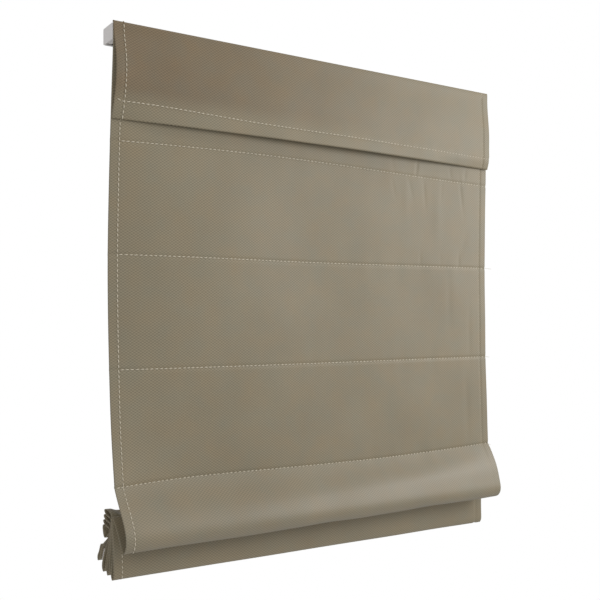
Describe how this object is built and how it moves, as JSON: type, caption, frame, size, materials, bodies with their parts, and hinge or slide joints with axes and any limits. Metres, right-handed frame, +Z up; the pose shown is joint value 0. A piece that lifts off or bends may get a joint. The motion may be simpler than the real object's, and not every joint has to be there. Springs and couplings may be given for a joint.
{
  "type": "roman blind",
  "caption": "Half-raised twill roman blind with a valance, stitched rod seams and stacked soft folds, hung from a slim headrail with a cord lift.",
  "frame": {"origin": "midpoint between the two ceiling screw holes, on the ceiling plane", "axes": "+X to the viewer's right, +Y to the wall or window behind, +Z up"},
  "size_m": [0.8, 0.1203, 0.8835],
  "materials": {
    "twill": "matte taupe twill",
    "rail": "satin anodised",
    "cap": "light grey moulded",
    "bracket": "zinc plated",
    "tape": "woven tape",
    "rod": "fibreglass",
    "ring": "moulded",
    "cord": "braided",
    "drive_plastic": "moulded",
    "shaft": "drawn",
    "bar": "mill"
  },
  "bodies": {
    "head": {"headrail": "rail", "end_cap_left": "cap", "end_cap_right": "cap", "bracket_left": "bracket", "bracket_right": "bracket", "hook_tape": "tape", "loop_tape": "tape", "valance": "twill", "face_fabric": "twill", "front_fold": "twill", "drive_housing": "drive_plastic", "rod_1": "rod", "rod_2": "rod", "rod_3": "rod", "rod_4": "rod", "cord_rings_upper": "ring", "spool_cradle_left": "drive_plastic", "spool_cradle_centre": "drive_plastic", "spool_cradle_right": "drive_plastic", "lift_cord_left": "cord", "lift_cord_centre": "cord", "lift_cord_right": "cord"},
    "drive": {"drive_shaft": "shaft", "chain_wheel": "drive_plastic", "shaft_bush": "drive_plastic", "cord_windings": "cord", "cord_spool_left": "drive_plastic", "cord_spool_centre": "drive_plastic", "cord_spool_right": "drive_plastic"},
    "fold_1": {"rod_5": "rod", "cord_rings_5": "ring", "hanging_loop_1": "twill"},
    "fold_2": {"rod_6": "rod", "cord_rings_6": "ring", "hanging_loop_2": "twill"},
    "fold_3": {"rod_7": "rod", "cord_rings_7": "ring", "hanging_loop_3": "twill"},
    "fold_4": {"rod_8": "rod", "cord_anchors": "ring", "bottom_panel": "twill", "bottom_bar": "bar", "bottom_bar_cap_left": "cap", "bottom_bar_cap_right": "cap"}
  },
  "joints": [
    {"name": "lift", "type": "slide", "parent": "head", "child": "fold_1", "axis": [0, 0, -1], "range_m": [0, 0.115], "deforming": ["front_fold", "lift_cord_left", "lift_cord_centre", "lift_cord_right"]},
    {"name": "unfold_2", "type": "slide", "parent": "fold_1", "child": "fold_2", "axis": [0, 0, -1], "range_m": [0, 0.1705], "deforming": ["hanging_loop_1"]},
    {"name": "unfold_3", "type": "slide", "parent": "fold_2", "child": "fold_3", "axis": [0, 0, -1], "range_m": [0, 0.1705], "deforming": ["hanging_loop_2"]},
    {"name": "unfold_4", "type": "slide", "parent": "fold_3", "child": "fold_4", "axis": [0, 0, -1], "range_m": [0, 0.1705], "deforming": ["hanging_loop_3"]},
    {"name": "drive_turn", "type": "hinge", "parent": "head", "child": "drive", "pos_m": [0, -0.03, -0.014], "axis": [-1, 0, 0], "range_deg": [0, 4422]}
  ],
  "couplings": [
    {"joint": "unfold_2", "follows": "lift", "ratio": 1.4783},
    {"joint": "unfold_3", "follows": "lift", "ratio": 1.4783},
    {"joint": "unfold_4", "follows": "lift", "ratio": 1.4783},
    {"joint": "drive_turn", "follows": "lift", "rad_per_m": 670.96}
  ]
}
